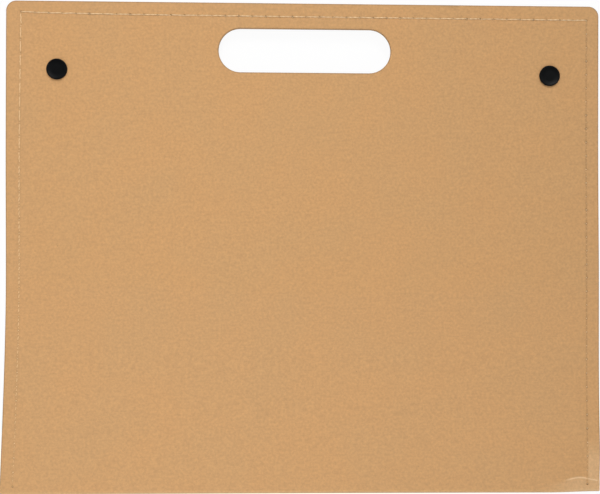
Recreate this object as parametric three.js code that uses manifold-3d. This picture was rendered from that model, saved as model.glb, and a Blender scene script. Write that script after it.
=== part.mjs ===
// Cardboard writing folder, closed and lying on its back: two covers and a spine folded from one scored
// kraft board, each cover sewn to an inner sheet on three sides, a handle slot through both covers, two
// press studs, and inside it a writing pad in a pocket, a document pocket and a pen loop.
// Millimetres. +X runs along the fold, +Y from the fold to the handle edge, +Z up out of the front cover.
// The origin is under the middle of the folder, at the outer faces of the two back caps.

import * as THREE from 'three';
import { mergeVertices } from 'three/addons/utils/BufferGeometryUtils.js';
import Module from 'manifold-3d';

const wasm = await Module();
wasm.setup();

// Covers
const coverWidth = 355;
const coverHeight = 291;
const cornerRadius = 6;
const cardThickness = 1.0;
const liningThickness = 0.4;
const liningInset = 0.8;
const liningFoldMargin = 7;
const sheetGap = 0.2;
const innerGap = 4.0;

// Spine and the stretch of each cover that flares towards its fold
const spineHeight = 15.7;
const spineCornerRadius = 0.6;
const foldLift = 0.3;
const foldClearance = 0.3;
const flareLength = 122;
const flareSteps = 12;

// Handle slot
const slotLength = 103.1;
const slotHeight = 26.2;
const slotFromEdge = 15.3;
const backSlotShift = 1.5;
const backSlotEase = 0.8;

// Press studs
const capRadius = 6.2;
const capThickness = 1.3;
const capEdgeRound = 0.5;
const capFromSideLeft = 30.2;
const capFromSideRight = 29.9;
const capFromEdgeLeft = 40.7;
const capFromEdgeRight = 42.2;
const seatGap = 0.2;
const postRadius = 1.9;
const postClearance = 0.3;
const pinRadius = 1.1;
const pinClearance = 0.3;
const flangeRadius = 5.5;
const flangeThickness = 0.6;
const studRadius = 2.3;
const studRound = 0.9;
const studClearance = 0.3;
const socketWall = 1.1;

// Seams
const seamEdgeLeft = 6.5;
const seamEdgeRight = 8.4;
const seamSideTopLeft = 9.1;
const seamSideTopRight = 7.3;
const seamSideFoldLeft = 7.4;
const seamSideFoldRight = 8.1;
const seamFoldMargin = 3.5;
const threadWidth = 0.6;
const threadThickness = 0.25;
const threadGap = 0.1;

// Writing pad and its pocket on the back cover
const padSideMargin = 29;
const padFoldMargin = 28.5;
const padStudMargin = 4.8;
const backingThickness = 0.5;
const pagesThickness = 1.6;
const padPocketThickness = 0.4;
const padPocketRim = 3.5;
const padPocketClearance = 0.5;
const padPocketMouth = 58;
const pagesRamp = 14;
const bindingWidth = 12;
const bindingThickness = 0.2;
const bindingGap = 0.1;

// Document pocket inside the front cover
const documentPocketThickness = 0.4;
const documentPocketMouth = 20;
const documentPocketSideMargin = 5;
const documentPocketFoldMargin = 12;

// Pen loop in the gutter beside the fold
const penLoopWidth = 20;
const penLoopBand = 0.6;
const penLoopFromFold = 11;
const penLoopClearance = 1.6;
const penLoopFoot = 6;

// Heights of the parallel stretch, from the back caps up
const backOuter = capThickness + seatGap;
const backInner = backOuter + cardThickness;
const backLiningLow = backInner + sheetGap;
const backLiningHigh = backLiningLow + liningThickness;
const frontLiningLow = backLiningHigh + innerGap;
const frontLiningHigh = frontLiningLow + liningThickness;
const frontInner = frontLiningHigh + sheetGap;
const frontOuter = frontInner + cardThickness;

// Fold, handle edge and flare
const foldY = -coverHeight / 2;
const edgeY = coverHeight / 2;
const sideX = coverWidth / 2;
const spineInnerY = foldY + cardThickness;
const sheetFoldY = spineInnerY + foldClearance;
const spineTop = foldLift + spineHeight;
const flareStartY = foldY + flareLength;
const frontFlare = spineTop - frontOuter;
const backFlare = foldLift - backOuter;

const slotY = edgeY - slotFromEdge - slotHeight / 2;
const studPlaces = {
  left: [-sideX + capFromSideLeft, edgeY - capFromEdgeLeft],
  right: [sideX - capFromSideRight, edgeY - capFromEdgeRight],
};
const lowestStudY = Math.min(studPlaces.left[1], studPlaces.right[1]);

const curveSegments = 12;
const turnedSegments = 26;
const boardMargin = 10;
const boardLow = -boardMargin;
const boardHigh = spineTop + boardMargin;

const materials = {
  kraftBoard: new THREE.MeshStandardMaterial({ color: 0xcda06f, roughness: 0.85, metalness: 0 }),
  kraftLining: new THREE.MeshStandardMaterial({ color: 0xc49766, roughness: 0.9, metalness: 0 }),
  blackPlastic: new THREE.MeshStandardMaterial({ color: 0x141414, roughness: 0.45, metalness: 0 }),
  nickel: new THREE.MeshStandardMaterial({ color: 0xb9b6ae, roughness: 0.35, metalness: 1 }),
  thread: new THREE.MeshStandardMaterial({ color: 0xd6b285, roughness: 0.8, metalness: 0 }),
  greyBoard: new THREE.MeshStandardMaterial({ color: 0xa59c8e, roughness: 0.9, metalness: 0 }),
  paper: new THREE.MeshStandardMaterial({ color: 0xf1eee6, roughness: 0.9, metalness: 0 }),
  bindingTape: new THREE.MeshStandardMaterial({ color: 0x8c6b45, roughness: 0.7, metalness: 0 }),
  elastic: new THREE.MeshStandardMaterial({ color: 0x1c1c1c, roughness: 0.85, metalness: 0 }),
};

function solidOf(geometry) {
  const bare = geometry.clone();
  bare.deleteAttribute('normal');
  bare.deleteAttribute('uv');
  const merged = mergeVertices(bare);
  const vertProperties = new Float32Array(merged.attributes.position.array);
  const triVerts = new Uint32Array(merged.index.array);
  return new wasm.Manifold(new wasm.Mesh({ numProp: 3, vertProperties, triVerts }));
}

function geometryOf(solid) {
  const mesh = solid.getMesh();
  const geometry = new THREE.BufferGeometry();
  geometry.setAttribute('position', new THREE.BufferAttribute(new Float32Array(mesh.vertProperties), 3));
  geometry.setIndex(new THREE.BufferAttribute(new Uint32Array(mesh.triVerts), 1));
  geometry.computeVertexNormals();
  return geometry;
}

function extruded(shape, low, high) {
  const settings = { depth: high - low, bevelEnabled: false, curveSegments };
  return new THREE.ExtrudeGeometry(shape, settings).translate(0, 0, low);
}

// A section drawn in Y and Z, drawn out along X
function alongX(shape, low, high) {
  const turn = new THREE.Matrix4().makeBasis(
    new THREE.Vector3(0, 1, 0),
    new THREE.Vector3(0, 0, 1),
    new THREE.Vector3(1, 0, 0),
  );
  return extruded(shape, low, high).applyMatrix4(turn);
}

// A section drawn in X and Z, drawn out along Y
function alongY(shape, low, high) {
  const turn = new THREE.Matrix4().makeBasis(
    new THREE.Vector3(1, 0, 0),
    new THREE.Vector3(0, 0, 1),
    new THREE.Vector3(0, -1, 0),
  );
  return extruded(shape, -high, -low).applyMatrix4(turn);
}

function shapeOf(points) {
  return new THREE.Shape(points.map(([a, b]) => new THREE.Vector2(a, b)));
}

function rectangle(left, right, low, high) {
  return shapeOf([[left, low], [right, low], [right, high], [left, high]]);
}

function box(left, right, near, far, low, high) {
  return extruded(rectangle(left, right, near, far), low, high);
}

// How far a cover has bent away from its parallel stretch at a distance along Y
function flareAt(y, flare) {
  const along = Math.max(0, (flareStartY - y) / flareLength);
  return flare * along * along;
}

// A bent sheet of board: parallel from the handle edge to the flare, then a parabola down to its fold side
function bentSheet(low, thickness, flare, foldSide, edgeSide) {
  const line = [[edgeSide, 0]];
  for (let step = 0; step <= flareSteps; step += 1) {
    const y = flareStartY + (foldSide - flareStartY) * (step / flareSteps);
    line.push([y, flareAt(y, flare)]);
  }
  const under = line.map(([y, rise]) => [y, low + rise]);
  const over = line.map(([y, rise]) => [y, low + thickness + rise]);
  const section = shapeOf([...over, ...under.reverse()]);
  return solidOf(alongX(section, -sideX - boardMargin, sideX + boardMargin));
}

function obround(length, height, y) {
  const half = length / 2 - height / 2;
  const path = new THREE.Path();
  path.absarc(half, y, height / 2, -Math.PI / 2, Math.PI / 2, false);
  path.absarc(-half, y, height / 2, Math.PI / 2, Math.PI * 1.5, false);
  path.closePath();
  return path;
}

function circle(x, y, radius) {
  const path = new THREE.Path();
  path.absarc(x, y, radius, 0, Math.PI * 2, false);
  return path;
}

// The die-cut outline of a cover or a lining: round handle corners, square fold corners, slot and stud holes
function coverOutline(inset, foldSide, slotShift, slotEase) {
  const side = sideX - inset;
  const edge = edgeY - inset;
  const radius = cornerRadius - inset;
  const shape = new THREE.Shape();
  shape.moveTo(-side, foldSide);
  shape.lineTo(side, foldSide);
  shape.absarc(side - radius, edge - radius, radius, 0, Math.PI / 2, false);
  shape.absarc(-side + radius, edge - radius, radius, Math.PI / 2, Math.PI, false);
  shape.closePath();
  shape.holes.push(obround(slotLength + 2 * slotEase, slotHeight + 2 * slotEase, slotY + slotShift));
  for (const [x, y] of Object.values(studPlaces)) {
    shape.holes.push(circle(x, y, postRadius + postClearance));
  }
  return shape;
}

function cutSheet(shape, sheet) {
  return geometryOf(solidOf(extruded(shape, boardLow, boardHigh)).intersect(sheet));
}

function cover(low, flare, slotShift, slotEase) {
  const sheet = bentSheet(low, cardThickness, flare, sheetFoldY, edgeY + boardMargin);
  return cutSheet(coverOutline(0, sheetFoldY, slotShift, slotEase), sheet);
}

function lining(low, flare, slotShift, slotEase) {
  const foldSide = foldY + liningFoldMargin;
  const sheet = bentSheet(low, liningThickness, flare, foldSide - boardMargin, edgeY + boardMargin);
  return cutSheet(coverOutline(liningInset, foldSide, slotShift, slotEase), sheet);
}

// The thread of a seam round three sides, as one flat strand that follows its cover. The seam isn't sewn
// quite true to the edges, so each of its corners has a distance of its own.
function seamThread(low, flare) {
  const half = threadWidth / 2;
  const end = foldY + seamFoldMargin;
  const topLeft = [-sideX + seamSideTopLeft, edgeY - seamEdgeLeft];
  const topRight = [sideX - seamSideTopRight, edgeY - seamEdgeRight];
  const foldLeft = -sideX + seamSideFoldLeft;
  const foldRight = sideX - seamSideFoldRight;
  const strand = shapeOf([
    [foldLeft - half, end],
    [foldLeft + half, end],
    [topLeft[0] + half, topLeft[1] - half],
    [topRight[0] - half, topRight[1] - half],
    [foldRight - half, end],
    [foldRight + half, end],
    [topRight[0] + half, topRight[1] + half],
    [topLeft[0] - half, topLeft[1] + half],
  ]);
  return cutSheet(strand, bentSheet(low, threadThickness, flare, sheetFoldY, edgeY + boardMargin));
}

function spine() {
  const shape = new THREE.Shape();
  const radius = spineCornerRadius;
  shape.moveTo(spineInnerY, foldLift);
  shape.lineTo(spineInnerY, spineTop);
  shape.absarc(foldY + radius, spineTop - radius, radius, Math.PI / 2, Math.PI, false);
  shape.absarc(foldY + radius, foldLift + radius, radius, Math.PI, Math.PI * 1.5, false);
  shape.closePath();
  return alongX(shape, -sideX, sideX);
}

// A turned piece, its profile given as radius and height from one end of the axis to the other
function turned(profile) {
  const points = profile.map(([radius, height]) => new THREE.Vector2(radius, height));
  return new THREE.LatheGeometry(points, turnedSegments).rotateX(Math.PI / 2);
}

// A press stud's cap: a flat button with a rounded rim, a post through the board and a pin at its end.
// It is drawn for the front and turned over for the back.
const postLength = seatGap + cardThickness + sheetGap + liningThickness;
const pinLength = seatGap + flangeThickness;

function cap() {
  const roundSteps = 3;
  const profile = [
    [0, -postLength - pinLength],
    [pinRadius, -postLength - pinLength],
    [pinRadius, -postLength],
    [postRadius, -postLength],
    [postRadius, 0],
    [capRadius, 0],
  ];
  for (let step = 0; step <= roundSteps; step += 1) {
    const angle = (Math.PI / 2) * (step / roundSteps);
    profile.push([
      capRadius - capEdgeRound + capEdgeRound * Math.cos(angle),
      capThickness - capEdgeRound + capEdgeRound * Math.sin(angle),
    ]);
  }
  profile.push([0, capThickness]);
  return turned(profile);
}

// The cup under the front cover, its mouth down, with a hole in its roof for the cap's pin
const socketTop = frontLiningLow - seatGap;
const socketRoof = socketTop - flangeThickness;
const studBase = backLiningHigh + seatGap;
const studShoulder = studBase + flangeThickness;

function socket() {
  const inner = studRadius + studClearance;
  const mouth = studShoulder + seatGap;
  return turned([
    [inner, mouth],
    [inner + socketWall, mouth],
    [inner + socketWall, socketRoof],
    [flangeRadius, socketRoof],
    [flangeRadius, socketTop],
    [pinRadius + pinClearance, socketTop],
    [pinRadius + pinClearance, socketRoof],
    [inner, socketRoof],
    [inner, mouth],
  ]);
}

// The stud on the back cover, with a rounded head and a blind hole under it for the cap's pin
function stud() {
  const headTop = socketRoof - seatGap;
  const headRound = studRound;
  const roundSteps = 3;
  const bore = pinRadius + pinClearance;
  const boreEnd = studShoulder + seatGap;
  const profile = [
    [0, boreEnd],
    [bore, boreEnd],
    [bore, studBase],
    [flangeRadius, studBase],
    [flangeRadius, studShoulder],
    [studRadius, studShoulder],
  ];
  for (let step = 0; step <= roundSteps; step += 1) {
    const angle = (Math.PI / 2) * (step / roundSteps);
    profile.push([
      studRadius - headRound + headRound * Math.cos(angle),
      headTop - headRound + headRound * Math.sin(angle),
    ]);
  }
  profile.push([0, headTop]);
  return turned(profile);
}

// The writing pad lies head to the -X side, so that it reads upright with the spine on the left
const pad = {
  left: -sideX + padSideMargin,
  right: sideX - padSideMargin,
  near: foldY + padFoldMargin,
  far: lowestStudY - flangeRadius - padStudMargin,
};
const backingLow = backLiningHigh + sheetGap;
const backingHigh = backingLow + backingThickness;
const padPocketLow = backingHigh + sheetGap;
const padPocketHigh = padPocketLow + padPocketThickness;
const padPocketX = pad.left + padPocketMouth;

function padBacking() {
  return box(pad.left, pad.right, pad.near, pad.far, backingLow, backingHigh);
}

// The pocket over the backing: glued down on three sides by its rim, open towards the head of the pad
function padPocket() {
  const rim = padPocketClearance + padPocketRim;
  const left = padPocketX;
  const right = pad.right + rim;
  const sheet = box(left, right, pad.near - rim, pad.far + rim, backingLow, padPocketHigh);
  const room = box(
    left - boardMargin,
    pad.right + padPocketClearance,
    pad.near - padPocketClearance,
    pad.far + padPocketClearance,
    boardLow,
    padPocketLow,
  );
  return geometryOf(solidOf(sheet).subtract(solidOf(room)));
}

// The sheets of the pad rest on the backing at their head and on the pocket below it
function padPages() {
  const head = backingHigh + sheetGap;
  const body = padPocketHigh + sheetGap;
  const section = shapeOf([
    [pad.left, head],
    [padPocketX - pagesRamp, head],
    [padPocketX - pagesRamp / 2, body],
    [pad.right, body],
    [pad.right, body + pagesThickness],
    [padPocketX - pagesRamp / 2, body + pagesThickness],
    [padPocketX - pagesRamp, head + pagesThickness],
    [pad.left, head + pagesThickness],
  ]);
  return alongY(section, pad.near, pad.far);
}

// The glued tape over the head of the pad, folded down over the edges of the sheets and the backing
function padBinding() {
  const top = backingHigh + sheetGap + pagesThickness + bindingGap;
  const inner = pad.left - bindingGap;
  const section = shapeOf([
    [inner - bindingThickness, backingLow],
    [inner, backingLow],
    [inner, top],
    [pad.left + bindingWidth, top],
    [pad.left + bindingWidth, top + bindingThickness],
    [inner - bindingThickness, top + bindingThickness],
  ]);
  return alongY(section, pad.near, pad.far);
}

function documentPocket() {
  const low = frontLiningLow - sheetGap - documentPocketThickness;
  const near = foldY + documentPocketFoldMargin;
  const sheet = bentSheet(low, documentPocketThickness, frontFlare, near - boardMargin, edgeY);
  const outline = rectangle(documentPocketMouth, sideX - documentPocketSideMargin, near, pad.far);
  return cutSheet(outline, sheet);
}

// An elastic band sewn down flat on the back lining, standing up as a round loop for a pen
function penLoop() {
  const y = foldY + penLoopFromFold;
  const floor = backLiningHigh + flareAt(y + penLoopFoot, backFlare) + sheetGap;
  const roof = frontLiningLow + flareAt(y, frontFlare);
  const radius = (roof - floor - penLoopClearance) / 2;
  const middle = floor + radius;
  const lift = Math.asin((radius - penLoopBand) / radius);
  const shape = new THREE.Shape();
  shape.moveTo(y - penLoopFoot, floor);
  shape.lineTo(y + penLoopFoot, floor);
  shape.lineTo(y + penLoopFoot, floor + penLoopBand);
  shape.absarc(y, middle, radius, -lift, Math.PI + lift, false);
  shape.lineTo(y - penLoopFoot, floor + penLoopBand);
  shape.closePath();
  shape.holes.push(circle(y, middle, radius - penLoopBand));
  return alongX(shape, -penLoopWidth / 2, penLoopWidth / 2);
}

function named(name, geometry, material, position = [0, 0, 0], turn = 0) {
  const mesh = new THREE.Mesh(geometry, material);
  mesh.name = name;
  mesh.position.set(...position);
  mesh.rotation.x = turn;
  return mesh;
}

const folder = new THREE.Group();
folder.add(
  named('back_cover', cover(backOuter, backFlare, backSlotShift, backSlotEase), materials.kraftBoard),
  named('spine', spine(), materials.kraftBoard),
  named('front_cover', cover(frontInner, frontFlare, 0, 0), materials.kraftBoard),
  named('back_lining', lining(backLiningLow, backFlare, backSlotShift, backSlotEase), materials.kraftLining),
  named('front_lining', lining(frontLiningLow, frontFlare, 0, 0), materials.kraftLining),
  named('back_thread', seamThread(backOuter - threadGap - threadThickness, backFlare), materials.thread),
  named('front_thread', seamThread(frontOuter + threadGap, frontFlare), materials.thread),
  named('pad_backing', padBacking(), materials.greyBoard),
  named('pad_pocket', padPocket(), materials.kraftLining),
  named('pad_pages', padPages(), materials.paper),
  named('pad_binding', padBinding(), materials.bindingTape),
  named('document_pocket', documentPocket(), materials.kraftLining),
  named('pen_loop', penLoop(), materials.elastic),
);

for (const [side, [x, y]] of Object.entries(studPlaces)) {
  folder.add(
    named(`${side}_front_cap`, cap(), materials.blackPlastic, [x, y, frontOuter + seatGap]),
    named(`${side}_socket`, socket(), materials.nickel, [x, y, 0]),
    named(`${side}_stud`, stud(), materials.nickel, [x, y, 0]),
    named(`${side}_back_cap`, cap(), materials.blackPlastic, [x, y, backOuter - seatGap], Math.PI),
  );
}

export default folder;
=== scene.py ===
import math

import bmesh
import bpy
import numpy as np
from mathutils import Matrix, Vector, geometry


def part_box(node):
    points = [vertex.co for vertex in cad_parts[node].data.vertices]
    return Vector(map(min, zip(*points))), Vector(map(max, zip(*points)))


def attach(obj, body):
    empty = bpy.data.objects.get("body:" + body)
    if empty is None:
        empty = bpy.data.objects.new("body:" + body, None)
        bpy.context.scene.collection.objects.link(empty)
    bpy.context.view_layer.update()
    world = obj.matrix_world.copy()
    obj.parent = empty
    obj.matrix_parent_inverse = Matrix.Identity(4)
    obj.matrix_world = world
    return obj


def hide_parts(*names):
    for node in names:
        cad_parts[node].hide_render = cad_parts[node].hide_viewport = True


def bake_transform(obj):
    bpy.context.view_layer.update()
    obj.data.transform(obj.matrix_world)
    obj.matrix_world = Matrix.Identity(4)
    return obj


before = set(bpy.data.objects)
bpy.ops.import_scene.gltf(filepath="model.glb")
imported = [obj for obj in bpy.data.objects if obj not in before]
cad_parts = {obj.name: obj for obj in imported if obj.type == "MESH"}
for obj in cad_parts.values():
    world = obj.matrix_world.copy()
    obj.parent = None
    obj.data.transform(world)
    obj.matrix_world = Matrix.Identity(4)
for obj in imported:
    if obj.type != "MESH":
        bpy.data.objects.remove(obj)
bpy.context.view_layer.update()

mm = 0.001  # every length below is written in millimetres and turned to metres here
print("frame loaded:", len(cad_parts), "nodes")


def nodeBox(name):
    low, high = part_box(name)
    return low / mm, high / mm


def linear(hexColour):  # an sRGB hex value turned to linear, with alpha 1
    parts = [((hexColour >> shift) & 255) / 255 for shift in (16, 8, 0)]
    return tuple(c / 12.92 if c <= 0.04045 else ((c + 0.055) / 1.055) ** 2.4 for c in parts) + (1.0,)


def addNode(tree, kind, settings=None, inputs=None):
    # one node, with its settings and what feeds it: a value, a socket, or a node whose first output is meant
    node = tree.nodes.new(kind)
    for key, value in (settings or {}).items():
        setattr(node, key, value)
    for key, value in (inputs or {}).items():
        if isinstance(value, bpy.types.Node):
            value = value.outputs[0]
        if isinstance(value, bpy.types.NodeSocket):
            tree.links.new(value, node.inputs[key])
        else:
            node.inputs[key].default_value = value
    return node


times = {"operation": "MULTIPLY"}


def emptyTree(owner):  # the node tree of a material or of the world, ready to be filled
    owner.use_nodes = True
    owner.node_tree.nodes.clear()
    return owner.node_tree


def linked(name, data):  # an object in the scene for a mesh, a lamp or the camera
    obj = bpy.data.objects.new(name, data)
    bpy.context.scene.collection.objects.link(obj)
    return obj


# Camera: straight down on the front cover, a little to the left of its middle and turned by under 2 degrees
camera = {"place": (-20.71, -3.72, 607.37), "turn": (0.319, -1.745, 0.189), "lens": 60.08}


def addCamera():
    data = bpy.data.cameras.new("camera")
    data.lens = camera["lens"]
    data.sensor_width = 36
    data.clip_end = 20
    obj = linked("camera", data)
    obj.location = Vector(camera["place"]) * mm
    obj.rotation_euler = [math.radians(angle) for angle in camera["turn"]]
    bpy.context.scene.camera = obj


addCamera()

# Sizes read from the frame
sideX, edgeY = nodeBox("front_cover")[1].xy
foldY, spineLow = nodeBox("spine")[0].yz
spineTop = nodeBox("spine")[1].z
capPlaces = {}
for side in ("left", "right"):
    low, high = nodeBox(side + "_front_cap")
    capPlaces[side] = ((low.x + high.x) / 2, (low.y + high.y) / 2)

# The board and how it has bent
board = {
    "thickness": 1.0,
    "liningThickness": 0.4,
    "sheetGap": 0.2,
    "capStandOff": 1.5,     # the caps stand this far out of the board
    "innerGap": 4.0,        # between the two linings
    "cornerRadius": 6.0,
    "flareLength": 122.0,
    "edgeSoftness": 0.16,   # a die-cut edge is crushed a little round
    "foldReach": 3.0,       # how far a fold strip reaches from its score
    "joinReach": 1.0,       # a cover isn't crushed this far past its join with the strip
    "foldGrip": 1.05,       # a fold moves with its cover over this many thicknesses of board
    "foldEase": 2.5,        # and eases into the spine over this many times that
    "gridStep": 3.2,
    "cornerSteps": 10,
    "slotSteps": 28,        # round each end of the handle slot
}
slot = {"length": 103.1, "height": 26.2, "fromEdge": 15.3, "backShift": 1.5, "backEase": 0.8}
stud = {"hole": 2.2, "flange": 5.5, "cap": 6.2, "capThickness": 1.3, "seat": 0.2}
warp = {
    "skew": -0.5,           # the front cover has slid this far towards its left side at the fold
    "bow": 0.6,             # and bows this far the other way half way down
    "bowY": (-26.0, 58.0),
    "endLift": 0.9,         # the ends of the fold stand this much higher than its middle
    "foldOut": 0.45,        # the fold stands out this far
    "droop": 3.2,           # the crushed corner at the right end of the fold
    "droopShift": 0.1,
    "droopX": (146.0, 177.5),
    "droopY": (-118.0, -145.5),
    "spineDent": 2.4,       # the spine has buckled inwards under it
    "creaseFromFold": 6.2,  # the bent line across that corner, with a hump at creaseX
    "creaseHump": 2.3,
    "creaseX": (165.0, 8.5),
    "creaseDepth": 0.45,
    "creaseWidth": 0.9,
    "creaseFade": 4.0,      # it dies away over this many widths
    "creaseStart": (150.0, 163.0),
    "wave": 0.12,           # the slow unevenness of any large sheet of board
    "frontWave": (61, 1.3, 47, 0.4),    # its length and phase along x, then along y
    "backWave": (53, 0.2, 58, 2.1),
}
# Painted highlights on the front cover where its bent corner faces the light, and a short dark mark on its handle
# edge
highlightsAndMark = {
    "creaseWidth": 0.42,    # width of the painted highlight along the bent line, where its ridge catches the light
    "creaseX": (154.0, 161.0),
    "corner": 0.3,          # how strong the painted highlight is on the crushed corner, which tilts to the light
    "cornerBelow": (-0.2, 1.6),
    "cornerX": (138.0, 166.0),
    "side": 0.33,           # and on the side edge beside it, also painted highlight where it tilts to the light
    "sideX": (168.5, 171.0),
    "sideY": (-112.0, -128.0),
    "dark": 0.7,            # a short dark mark on the handle edge
    "darkX": (87.0, 3.0),
    "darkReach": (1.2, 0.3),
}

backOuter = board["capStandOff"]
backInner = backOuter + board["thickness"]
backLiningLow = backInner + board["sheetGap"]
backLiningHigh = backLiningLow + board["liningThickness"]
frontLiningLow = backLiningHigh + board["innerGap"]
frontLiningHigh = frontLiningLow + board["liningThickness"]
frontInner = frontLiningHigh + board["sheetGap"]
frontOuter = frontInner + board["thickness"]
flareStart = foldY + board["flareLength"]
slotY = edgeY - slot["fromEdge"] - slot["height"] / 2
frontFlare = spineTop - frontOuter
backFlare = spineLow - backOuter


def smooth(value, low, high):  # 0 before low, 1 after high, either way round
    t = np.clip((value - low) / (high - low), 0, 1)
    return t * t * (3 - 2 * t)


def hump(value, middle, reach):  # a smooth bump, 1 at its middle
    return np.exp(-(((value - middle) / reach) ** 2))


def creaseLine(x):  # where the bent line crosses the corner, as y for an x
    return foldY + warp["creaseFromFold"] + warp["creaseHump"] * hump(x, *warp["creaseX"])


def flare(y):  # 0 where a cover lies flat, rising to 1 at the fold
    return np.clip((flareStart - y) / board["flareLength"], 0, 1) ** 2


def wave(x, y, lengthX, phaseX, lengthY, phaseY):
    return warp["wave"] * np.sin(x / lengthX + phaseX) * np.sin(y / lengthY + phaseY)


def frontBend(x, y):  # how far a point of the front cover has moved
    along = flare(y)
    corner = smooth(x, *warp["droopX"]) * smooth(y, *warp["droopY"])
    below = (creaseLine(x) - y) / warp["creaseWidth"]
    fade = np.exp(-np.clip(below, 0, None) / warp["creaseFade"])
    step = warp["creaseDepth"] * smooth(below, -1, 1) * fade * smooth(x, *warp["creaseStart"])
    lift = (frontFlare + warp["endLift"] * (x / sideX) ** 2) * along - warp["droop"] * corner
    lift = lift + step + wave(x, y, *warp["frontWave"])
    across = warp["skew"] * along + warp["droopShift"] * corner + warp["bow"] * hump(y, *warp["bowY"])
    return across, -warp["foldOut"] * along, lift


def backBend(x, y):
    along = flare(y)
    return x * 0, x * 0, backFlare * along + wave(x, y, *warp["backWave"]) * (1 - along)


bends = {"front": frontBend, "back": backBend}


def foldBend(x, y, z):  # the same for the folds and the spine: front score above, back score below
    edge = board["foldGrip"] * board["thickness"]
    eased = board["foldEase"] * edge
    top = smooth(z, spineTop - eased, spineTop - edge)
    foot = smooth(z, spineLow + eased, spineLow + edge)
    share = np.clip((z - spineLow - edge) / (spineTop - spineLow - 2 * edge), 0, 1)
    across, out, lift = frontBend(x, foldY + (y - foldY) * top)
    dent = warp["spineDent"] * smooth(x, *warp["droopX"]) * np.sin(math.pi * share) ** 2
    lower = (backBend(x, y)[2] - backFlare) * foot
    return across * share, out * share + dent, (lift - frontFlare) * share + lower


def frontHighlightsAndMark(x, y):  # where the front cover gets painted highlight, up to 1, or its short dark mark, down to -1
    below = creaseLine(x) - y
    crease = hump(below, 0, highlightsAndMark["creaseWidth"]) * smooth(x, *highlightsAndMark["creaseX"])
    corner = highlightsAndMark["corner"] * smooth(below, *highlightsAndMark["cornerBelow"]) * smooth(x, *highlightsAndMark["cornerX"])
    side = highlightsAndMark["side"] * smooth(x, *highlightsAndMark["sideX"]) * smooth(y, *highlightsAndMark["sideY"])
    start, full = highlightsAndMark["darkReach"]
    mark = hump(x, *highlightsAndMark["darkX"]) * smooth(y, edgeY - start, edgeY - full)
    return np.maximum(np.maximum(crease, corner), side) - highlightsAndMark["dark"] * mark


# Mesh making
def newObject(name, verts, faces, materials, slots=None, sharpAngle=40):
    mesh = bpy.data.meshes.new(name)
    mesh.from_pydata(np.asarray(verts, float) * mm, [], faces)
    for material in materials:
        mesh.materials.append(material)
    if slots is not None:
        mesh.polygons.foreach_set("material_index", slots)
    mesh.polygons.foreach_set("use_smooth", [True] * len(mesh.polygons))
    mesh.set_sharp_from_angle(angle=math.radians(sharpAngle))
    mesh.update()
    return linked(name, mesh)


def addAttribute(obj, name, values):  # a number or a vector for each vertex
    values = np.asarray(values, np.float32)
    kind, key = ("FLOAT", "value") if values.ndim == 1 else ("FLOAT_VECTOR", "vector")
    obj.data.attributes.new(name, kind, "POINT").data.foreach_set(key, values.ravel())


def standIn(piece, node, body):  # a piece that stands for one node of the frame
    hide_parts(node)
    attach(piece, body)


def tubeFaces(sides, rings):  # faces between rings of points that follow each other, and over both ends
    faces = []
    for first in range(0, (rings - 1) * sides, sides):
        for k in range(sides):
            p, q = first + k, first + (k + 1) % sides
            faces.append((p, q, q + sides, p + sides))
    last = (rings - 1) * sides
    return faces + [tuple(range(sides))[::-1], tuple(range(last, last + sides))]


def straight(start, end, step):  # points from start up to, but not on, end
    count = max(1, round(math.dist(start, end) / step))
    return [
        (start[0] + (end[0] - start[0]) * k / count, start[1] + (end[1] - start[1]) * k / count)
        for k in range(count)
    ]


def arc(centre, radius, start, end, count):
    return [
        (
            centre[0] + radius * math.cos(math.radians(start + (end - start) * k / count)),
            centre[1] + radius * math.sin(math.radians(start + (end - start) * k / count)),
        )
        for k in range(count)
    ]


def coverLoop(cut, inward):  # anticlockwise outline of a cover or lining, round at its two handle corners
    side = sideX - cut["inset"] - inward
    edge = edgeY - cut["inset"] - inward
    foot = cut["foldSide"] + inward
    radius = board["cornerRadius"] - cut["inset"] - inward
    step, count = board["gridStep"], board["cornerSteps"]
    return (
        straight((-side, foot), (side, foot), step)
        + straight((side, foot), (side, edge - radius), step)
        + arc((side - radius, edge - radius), radius, 0, 90, count)
        + straight((side - radius, edge), (-side + radius, edge), step)
        + arc((-side + radius, edge - radius), radius, 90, 180, count)
        + straight((-side, edge - radius), (-side, foot), step)
    )


def slotLoop(cut, inward):  # clockwise, because it bounds a hole
    radius = slot["height"] / 2 + inward + cut["slotEase"]
    half = (slot["length"] - slot["height"]) / 2
    y = slotY + cut["slotShift"]
    step, count = board["gridStep"], board["slotSteps"]
    loop = (
        arc((half, y), radius, -90, 90, count)
        + straight((half, y + radius), (-half, y + radius), step)
        + arc((-half, y), radius, 90, 270, count)
        + straight((-half, y - radius), (half, y - radius), step)
    )
    return loop[::-1]


def ringLoop(x, y, radius, count):
    return arc((x, y), radius, 0, 360, count)[::-1]


def rectangleLoop(left, right, near, far, inward):
    left, right, near, far = left + inward, right - inward, near + inward, far - inward
    corners = [(left, near), (right, near), (right, far), (left, far)]
    loop = []
    for k in range(4):
        loop += straight(corners[k], corners[(k + 1) % 4], board["gridStep"])
    return loop


def coverDistance(cut, x, y):  # how far a point lies inside the board, below 0 in a hole or outside
    side, edge = sideX - cut["inset"], edgeY - cut["inset"]
    radius = board["cornerRadius"] - cut["inset"]
    d = np.minimum(np.minimum(side - np.abs(x), edge - y), y - cut["foldSide"])
    across, up = np.abs(x) - (side - radius), y - (edge - radius)
    d = np.where((across > 0) & (up > 0), radius - np.hypot(across, up), d)
    half = (slot["length"] - slot["height"]) / 2
    away = np.hypot(np.maximum(np.abs(x) - half, 0), y - slotY - cut["slotShift"]) - slot["height"] / 2
    d = np.minimum(d, away - cut["slotEase"])
    for hx, hy, radius in cut["holes"]:
        d = np.minimum(d, np.hypot(x - hx, y - hy) - radius)
    return d


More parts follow.
